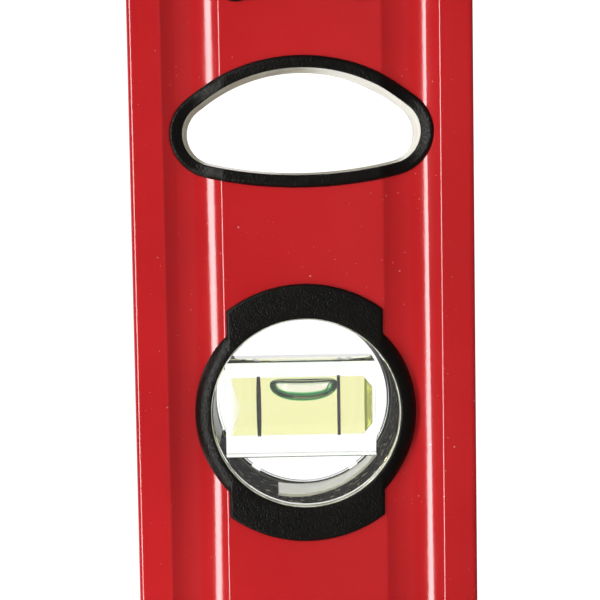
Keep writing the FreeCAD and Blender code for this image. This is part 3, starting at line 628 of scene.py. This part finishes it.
def full_circle(count):
    return [2 * math.pi * k / count for k in range(count)]


def bezel_turns():
    """Directions round the bezel, with some close together at each corner of its outline."""
    corners = [math.asin(EAR_HALF / radius) for radius in (EAR_RADIUS, BEZEL_RADIUS)]
    corners.append(math.asin(CREASE_HALF / BORE_RADIUS))
    turns = full_circle(264)
    nearby = 0.003
    for corner in corners:
        for base in (corner, math.pi - corner, math.pi + corner, 2 * math.pi - corner):
            turns += [base - nearby, base + nearby]
    return sorted(turns)


def bezels():
    turns = bezel_turns()
    for side in ("left", "right"):
        for face, facing in (("front", 1), ("back", -1)):
            cad = f"{side}_plumb_{face}_bezel"
            centre = centre_of(cad)
            rings = []
            for turn in turns:
                ray = Vector((math.cos(turn), math.sin(turn)))
                ring = [
                    (centre.x + ray.x * radius, (FRONT_Y + depth) * facing, centre.z + ray.y * radius)
                    for radius, depth in bezel_section(abs(ray.y))
                ]
                rings.append(ring)
            verts, faces = loft(rings)
            name = f"{cad}_housing"
            housing = new_piece(name, verts, faces, [BLACK, BORE_BLACK], replaces=[cad])
            mark_sleeve(housing, len(rings[0]))
            lens_seat(f"{side}_plumb_{face}_lens_seat", centre, facing)
        shift = Vector((-LIP_OFFSET if side == "left" else LIP_OFFSET, 0, 0))
        back_lip(side, centre_of(f"{side}_plumb_back_bezel") + shift)


def arc_band(name, turns, section, centre, materials, closed, replaces=()):
    """A band round a bore, from (radius, y) sections as a function of the direction."""
    rings = []
    for turn in turns:
        ring = [
            (centre.x + radius * math.cos(turn), y, centre.z + radius * math.sin(turn))
            for radius, y in section(turn)
        ]
        rings.append(ring)
    verts, faces = loft(rings, closed_along=closed)
    if not closed:
        last = (len(rings) - 1) * len(rings[0])
        faces.append(tuple(range(len(rings[0]))))
        faces.append(tuple(reversed(range(last, last + len(rings[0])))))
    return new_piece(name, verts, faces, materials, replaces=replaces)


def lens_seat(name, centre, facing):
    """The clear skirt that the lens sits in, whose painted light shows as a pale line inside the rim."""
    outer, inner = BORE_RADIUS - 0.02 * MM, BORE_RADIUS - 0.16 * MM
    start, bevel, end = -11.6 * MM, -11.5 * MM, -8.3 * MM
    section = [(outer, start), (outer, end), (inner, end), (inner, bevel), (outer - 0.05 * MM, start)]
    turned_section = [(radius, y * facing) for radius, y in section]
    arc_band(name, full_circle(192), lambda turn: turned_section, centre, [SEAT_PAINTED_LIGHT_AND_SHADE], True)


def back_lip(side, centre):
    """The inner lip at the back of the bore: four keyways, and a wide gap at the vial's upper end."""
    keyways = [(math.radians(angle), 0.95 * MM / LIP_RADIUS) for angle in (35, 145, 215, 325)]
    gap_turn = math.pi / 2 if side == "left" else 3 * math.pi / 2
    cuts = keyways + [(gap_turn, math.radians(21))]
    turns = full_circle(180)
    step = 0.001
    for turn, half in cuts:
        turns += [turn - half - step, turn - half, turn + half, turn + half + step]
    full = BORE_RADIUS + 0.1 * MM

    def section(turn):
        cut = any(abs(turn - place) <= half + step / 10 for place, half in cuts)
        inner = full if cut else LIP_RADIUS
        soft = full if cut else LIP_RADIUS + 0.12 * MM
        top, low = -FRONT_Y - 0.02 * MM, LIP_DEPTH
        outer = full + 0.05 * MM
        return [(inner, low), (inner, top - 0.12 * MM), (soft, top), (outer, top), (outer, low)]

    name = f"{side}_plumb_back_bezel_lip"
    arc_band(name, sorted(turns), section, centre, [SMOOTH_BLACK], True)
    window = [(BORE_RADIUS - 0.3 * MM, -8.0 * MM), (BORE_RADIUS - 0.03 * MM, -8.0 * MM)]
    window += [(radius, 11.7 * MM) for radius, _ in reversed(window)]
    reach = math.radians(20.5)
    arc = [gap_turn - reach + 2 * reach * k / 24 for k in range(25)]
    bore = centre_of(f"{side}_plumb_back_bezel")
    arc_band(f"{side}_plumb_key_window", arc, lambda turn: window, bore, [PALE_GREEN], False)


def shims():
    """The pale strip on the wall of the bore behind the vial, set a little askew."""
    for side, sign in (("left", 1), ("right", -1)):
        cad = f"{side}_plumb_locking_shim"
        centre = centre_of(f"{side}_plumb_front_lens")
        count = 40
        first, sweep = math.radians(37), math.radians(71)
        start, slope, bend = 3.0 * MM, 7.0 * MM, 1.6
        width, deepest = 10.4 * MM, 9.1 * MM
        outer, inner = BORE_RADIUS - 0.04 * MM, BORE_RADIUS - 0.5 * MM

        def section(turn):
            share = (shim_turn(turn, sign) - first) / sweep
            near = start - slope * share ** bend
            far = min(deepest, near + width)
            return [(outer, near), (outer, far), (inner, far), (inner, near)]

        turns = [shim_turn(first + sweep * k / count, sign) for k in range(count + 1)]
        arc_band(f"{cad}_strip", turns, section, centre, [CREAM], False, [cad])


def shim_turn(turn, sign):
    """The direction that lies as far from the tube's filled end, towards the level's end, as turn says.
    It is its own inverse, and also gives how far past the filled end a direction lies."""
    return math.atan2(-math.cos(turn) * sign, -math.sin(turn) * sign)


# ---------------------------------------------------------------- vials


def turned(name, profile, materials, cad, axis_point, along):
    """A solid of revolution from (distance along the axis, radius) pairs."""
    segments = 96
    along = along.normalized()
    side = along.orthogonal().normalized()
    other = along.cross(side)
    rings = []
    for distance, radius in profile:
        foot = axis_point + along * distance
        rays = [side * math.cos(turn) + other * math.sin(turn) for turn in full_circle(segments)]
        rings.append([foot + ray * radius for ray in rays])
    verts, faces = loft(rings, closed_along=False)
    first = len(verts)
    verts += [axis_point + along * profile[0][0], axis_point + along * profile[-1][0]]
    last_ring = (len(rings) - 1) * segments
    for k in range(segments):
        j = (k + 1) % segments
        faces.append((first, j, k))
        faces.append((first + 1, last_ring + k, last_ring + j))
    return new_piece(name, verts, faces, materials, replaces=[cad])


def lenses():
    for side in ("left", "right"):
        for face, facing in (("front", -1), ("back", 1)):
            cad = f"{side}_plumb_{face}_lens"
            centre = centre_of(cad)
            inner, outer = 9.3 * MM, 10.35 * MM
            bevel = 0.1 * MM
            radius = BORE_RADIUS - 0.2 * MM if face == "front" else LIP_RADIUS + 0.3 * MM
            profile = [
                (inner, radius - bevel),
                (inner + bevel, radius),
                (outer - bevel, radius),
                (outer, radius - bevel),
            ]
            turned(f"{cad}_disc", profile, [LENS], cad, centre, Vector((0, facing, 0)))


TUBE_RADIUS = 5.05 * MM
FILL_RADIUS = TUBE_RADIUS - 0.01 * MM
FILM = 0.12 * MM


def vial(prefix, bubble_body, axis_point, along, up, tube_low, tube_high, line_middle, line_gap, bubble):
    """Everything in one tube: along is the tube's direction, up the side that the bubble floats on."""
    block_piece(prefix)
    liquid_piece(prefix, axis_point, along, up, tube_low, tube_high)
    stopper_piece(prefix, axis_point, along, tube_low)
    lines_piece(prefix, axis_point, along, line_middle, line_gap)
    bubble_piece(prefix, bubble_body, axis_point, along, up, *bubble)


def block_piece(prefix):
    cad = f"{prefix}_vial_block"
    low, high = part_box(cad)
    verts, faces = bevelled_box((low + high) / 2, high - low, 0.12 * MM)
    new_piece(f"{cad}_clear", verts, faces, [ACRYLIC], replaces=[cad])


def block_seams(prefix):
    """The thin dark edges along the block's two long sides, where it is bedded in its housing."""
    low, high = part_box(f"{prefix}_vial_block")
    thick, deep, inset = 0.15 * MM, 0.7 * MM, 0.2 * MM
    for name, foot in (("lower", low.x - thick / 2), ("upper", high.x + thick / 2)):
        middle = Vector((foot, low.y + inset + deep / 2, (low.z + high.z) / 2))
        size = Vector((thick, deep, high.z - low.z - 2 * inset))
        verts, faces = bevelled_box(middle, size, thick / 4)
        new_piece(f"{prefix}_vial_block_{name}_seam", verts, faces, [SEAM])


def bevelled_box(middle, size, bevel):
    shape = bmesh.new()
    bmesh.ops.create_cube(shape, size=1.0)
    bmesh.ops.scale(shape, vec=size, verts=shape.verts)
    bmesh.ops.translate(shape, vec=middle, verts=shape.verts)
    bmesh.ops.bevel(shape, geom=shape.edges[:], offset=bevel, segments=2, profile=0.5, affect="EDGES")
    verts = [v.co.copy() for v in shape.verts]
    faces = [tuple(v.index for v in f.verts) for f in shape.faces]
    shape.free()
    return verts, faces


def liquid_piece(prefix, axis_point, along, up, low, high):
    """The liquid: bevelled at its low end, and hollowed at its high end by the cone that closes the tube."""
    hollow = 1.8 * MM
    wall = FILL_RADIUS
    rings_at_end = 9
    bevel_deep, bevel_long = 0.29 * MM, 0.25 * MM
    profile = [(low, wall - bevel_deep), (low + bevel_long, wall)]
    profile += [(high - hollow * (1 - k / rings_at_end), wall) for k in range(rings_at_end + 1)]
    steps = 8
    for k in range(1, steps):
        share = k / steps
        profile.append((high - hollow * share, wall * (1 - share)))
    profile.append((high - hollow, 0.06 * MM))
    cad = f"{prefix}_liquid"
    fill = turned(f"{cad}_fill", profile, [LIQUID], cad, axis_point, along)
    values = []
    for vertex in fill.data.vertices:
        offset = vertex.co - axis_point
        from_end = high - offset.dot(along)
        height = abs(offset.dot(up)) / wall
        on_wall = (offset - along * offset.dot(along)).length > wall - 0.05 * MM
        over_cone = max(0.0, 1 - from_end / (hollow * (1 - height) + 0.2 * MM))
        values.append(over_cone if on_wall else float(from_end < hollow + 0.1 * MM))
    store_values(fill, "thin", values)


def stopper_piece(prefix, axis_point, along, tube_low):
    """The visible end of the plug that closes the filled end: a blunt cone, faceted at its rim."""
    cad = f"{prefix}_vial_stopper"
    length, gap = 1.3 * MM, 0.03 * MM
    profile = [
        (tube_low - length, FILL_RADIUS - 1.85 * MM),
        (tube_low - length + 0.6 * MM, FILL_RADIUS - 1.15 * MM),
        (tube_low - gap - 0.25 * MM, FILL_RADIUS - 0.6 * MM),
        (tube_low - gap, FILL_RADIUS - 0.36 * MM),
    ]
    turned(f"{cad}_plug", profile, [STOPPER], cad, axis_point, along)


def lines_piece(prefix, axis_point, along, middle, gap):
    cad = f"{prefix}_graduation_lines"
    verts, faces = [], []
    half = 0.27 * MM
    inner, outer = TUBE_RADIUS + 0.02 * MM, TUBE_RADIUS + 0.17 * MM
    side = along.orthogonal().normalized()
    other = along.cross(side)
    for sign in (-1, 1):
        rings = []
        for turn in full_circle(96):
            ray = side * math.cos(turn) + other * math.sin(turn)
            foot = axis_point + along * (middle + gap / 2 * sign)
            ring = [(inner, -half), (outer, -half), (outer, half), (inner, half)]
            rings.append([foot + ray * radius + along * shift for radius, shift in ring])
        more_verts, more_faces = loft(rings)
        base = len(verts)
        verts += more_verts
        faces += [tuple(index + base for index in face) for face in more_faces]
    new_piece(f"{cad}_print", verts, faces, [LINES], replaces=[cad])


def bubble_piece(prefix, body, axis_point, along, up, middle, half_length, deep):
    """Flat along the top of the tube and rounded below, with blunt ends and an oval cross-section."""
    cad = f"{prefix}_bubble"
    across = along.cross(up)
    wall = FILL_RADIUS - FILM
    shoulder = 1.2 * MM
    half_across = 2.8 * MM
    crown_deep = 0.55 * MM
    top_power, belly_power, side_power, crown_power = 9, 2.2, 2.6, 0.5
    slices, segments = 56, 64
    rings = []
    for k in range(1, slices):
        share = math.cos(math.pi * k / slices)
        top = wall - shoulder * (1 - math.sqrt(1 - abs(share) ** top_power))
        bottom = wall - shoulder - (deep - shoulder) * math.sqrt(1 - abs(share) ** belly_power)
        half_tall = (top - bottom) / 2
        half_wide = half_across * math.sqrt(1 - abs(share) ** side_power)
        centre = axis_point + along * (middle + half_length * share) + up * (top + bottom) / 2
        ring = []
        for turn in full_circle(segments):
            rise = math.sin(turn)
            flat = abs(rise) ** crown_power if rise > 0 else rise
            ring.append(centre + up * half_tall * flat + across * half_wide * math.cos(turn))
        rings.append(ring)
    verts, faces = loft(rings, closed_along=False)
    first = len(verts)
    verts += [axis_point + along * (middle + half_length * s) + up * (wall - shoulder) for s in (1, -1)]
    last = (len(rings) - 1) * segments
    for j in range(segments):
        following = (j + 1) % segments
        faces.append((first, following, j))
        faces.append((first + 1, last + j, last + following))
    air = new_piece(f"{cad}_air", verts, faces, [AIR], body, [cad], smooth=80)
    # The crown value places the painted reflected line along the flat top, and the rim value places the
    # painted shade round the edge.
    crown = [float((Vector(v) - axis_point).dot(up) > wall - crown_deep) for v in verts]
    store_values(air, "thin", crown)
    store_values(air, "rim", [1 - abs(vertex.normal.y) for vertex in air.data.vertices])


def vials():
    plumb_bubble = (0.2 * MM, 6.0 * MM, 4.0 * MM)
    for side, sign in (("left", 1), ("right", -1)):
        centre = centre_of(f"{side}_plumb_front_lens")
        along = Vector((0, 0, sign))
        up = Vector((sign, 0, 0))
        prefix = f"{side}_plumb"
        block_seams(prefix)
        tube = (-10.55 * MM, 13.1 * MM, 1.1 * MM, 14.1 * MM)
        vial(prefix, f"{side}_bubble", centre, along, up, *tube, plumb_bubble)
    centre = centre_of("centre_vial_block")
    bubble = (0.0, 7.2 * MM, 4.4 * MM)
    along, up = Vector((-1, 0, 0)), Vector((0, 0, 1))
    vial("centre", "middle_bubble", centre, along, up, -24.9 * MM, 25.1 * MM, 0.0, 17.0 * MM, bubble)


# ---------------------------------------------------------------- CAD nodes that keep their shape


def paint(node_name, material):
    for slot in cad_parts[node_name].material_slots:
        slot.material = material


def painted_nodes():
    paint("beam", RED)
    for name in ("left_end_cap", "right_end_cap", "centre_front_frame", "centre_back_frame"):
        paint(name, BLACK)
    paint("centre_top_window", LENS)


# ---------------------------------------------------------------- stage


WHITE = 1.15
FRONT_GLOW = 0.08


def floor():
    """Plain white to the camera and through clear parts, pale to the light and dim in reflections."""
    half = 3.0
    verts = [(-half, -half, 0), (half, -half, 0), (half, half, 0), (-half, half, 0)]
    mesh = bpy.data.meshes.new("floor")
    mesh.from_pydata(verts, [], [(0, 1, 2, 3)])
    plane = bpy.data.objects.new("floor", mesh)
    bpy.context.scene.collection.objects.link(plane)
    material, tree, shader = new_material("pale_floor")
    shader.inputs["Roughness"].default_value = 1.0
    shader.inputs["Specular IOR Level"].default_value = 0.0
    shader.inputs["Emission Color"].default_value = (1, 1, 1, 1)
    rays = tree.nodes.new("ShaderNodeLightPath")
    glow = tree.nodes.new("ShaderNodeMath")
    glow.operation = "MAXIMUM"
    tree.links.new(rays.outputs["Is Camera Ray"], glow.inputs[0])
    tree.links.new(rays.outputs["Is Transmission Ray"], glow.inputs[1])
    bright = tree.nodes.new("ShaderNodeMath")
    bright.operation = "MULTIPLY"
    bright.inputs[1].default_value = WHITE
    tree.links.new(glow.outputs[0], bright.inputs[0])
    tree.links.new(bright.outputs[0], shader.inputs["Emission Strength"])
    matt = mix(tree, rays.outputs["Is Glossy Ray"], (0.8, 0.8, 0.8, 1), (0.12, 0.12, 0.12, 1))
    shade = mix(tree, glow.outputs[0], matt, (0, 0, 0, 1))
    tree.links.new(shade, shader.inputs["Base Color"])
    mesh.materials.append(material)


def white_world():
    """White behind the level and to the camera, and dim in front of it, as in front of a white backdrop."""
    world = bpy.data.worlds.new("studio")
    bpy.context.scene.world = world
    world.use_nodes = True
    tree = world.node_tree
    tree.nodes.clear()
    output = tree.nodes.new("ShaderNodeOutputWorld")
    background = tree.nodes.new("ShaderNodeBackground")
    direction = tree.nodes.new("ShaderNodeTexCoord")
    split = tree.nodes.new("ShaderNodeSeparateXYZ")
    tree.links.new(direction.outputs["Generated"], split.inputs[0])
    behind = tree.nodes.new("ShaderNodeMapRange")
    behind.inputs["From Min"].default_value = 0.1
    behind.inputs["From Max"].default_value = 0.5
    tree.links.new(split.outputs["Y"], behind.inputs["Value"])
    rays = tree.nodes.new("ShaderNodeLightPath")
    seen = tree.nodes.new("ShaderNodeMath")
    seen.operation = "MAXIMUM"
    tree.links.new(rays.outputs["Is Camera Ray"], seen.inputs[0])
    tree.links.new(rays.outputs["Is Transmission Ray"], seen.inputs[1])
    white = tree.nodes.new("ShaderNodeMath")
    white.operation = "MAXIMUM"
    tree.links.new(seen.outputs[0], white.inputs[0])
    tree.links.new(behind.outputs[0], white.inputs[1])
    colour = mix(tree, white.outputs[0], (FRONT_GLOW, FRONT_GLOW, FRONT_GLOW, 1), (WHITE, WHITE, WHITE, 1))
    tree.links.new(colour, background.inputs["Color"])
    tree.links.new(background.outputs[0], output.inputs["Surface"])


def strip_light(name, place, aim, length, width, power):
    """A long soft box whose length runs along the level."""
    data = bpy.data.lights.new(name, "AREA")
    data.shape = "RECTANGLE"
    data.size = length
    data.size_y = width
    data.energy = power
    lamp = bpy.data.objects.new(name, data)
    bpy.context.scene.collection.objects.link(lamp)
    away = (Vector(place) - Vector(aim)).normalized()
    along = Vector((1, 0, 0))
    across = away.cross(along).normalized()
    lamp.matrix_world = Matrix.Translation(Vector(place)) @ Matrix(
        (
            (along.x, across.x, away.x, 0),
            (along.y, across.y, away.y, 0),
            (along.z, across.z, away.z, 0),
            (0, 0, 0, 1),
        )
    )
    return lamp


def lights():
    """A long soft key box on the top side, and a broader one just in front of it for the shine."""
    aim = centre_of("left_plumb_front_lens")
    aim.y = FRONT_Y
    slant = math.radians(45)
    reach, nearer_share, length = 0.9, 0.96, 2.2
    place = aim + Vector((0, -math.cos(slant), math.sin(slant))) * reach
    key_width, key_power = 0.19, 13.2
    shine_width, shine_power = 0.24, 28.0
    strip_light("key_strip", place, aim, length, key_width, key_power).visible_glossy = False
    nearer = aim + (place - aim) * nearer_share
    strip_light("key_shine", nearer, aim, length, shine_width, shine_power).visible_diffuse = False


def camera():
    """In front of the half-moon hole and lying on its side, so that the level's left end hangs down."""
    moon = centre_of("left_half_moon_front_liner")
    lower, back, higher = 8.2 * MM, 301.8 * MM, 6.0 * MM
    aim_lower, aim_higher = 31.05 * MM, 0.77 * MM
    roll = math.radians(0.93)
    spot = Vector((moon.x - lower, -back, moon.z + higher))
    aim = Vector((moon.x - aim_lower, FRONT_Y, moon.z + aim_higher))
    forward = (aim - spot).normalized()
    right = forward.cross(Vector((1, 0, 0))).normalized()
    right = Matrix.Rotation(roll, 3, forward) @ right
    up = right.cross(forward)
    data = bpy.data.cameras.new("camera")
    data.lens = 99.8
    data.sensor_width = 36
    data.clip_start = 0.01
    data.clip_end = 50
    lens = bpy.data.objects.new("camera", data)
    bpy.context.scene.collection.objects.link(lens)
    turn = Matrix([[axis[k] for axis in (right, up, -forward)] for k in range(3)])
    lens.matrix_world = Matrix.Translation(spot) @ turn.to_4x4()
    bpy.context.scene.camera = lens


painted_nodes()
liners()
grips()
bezels()
lenses()
vials()
shims()
floor()
white_world()
lights()
camera()
bpy.context.scene.view_settings.view_transform = "Standard"
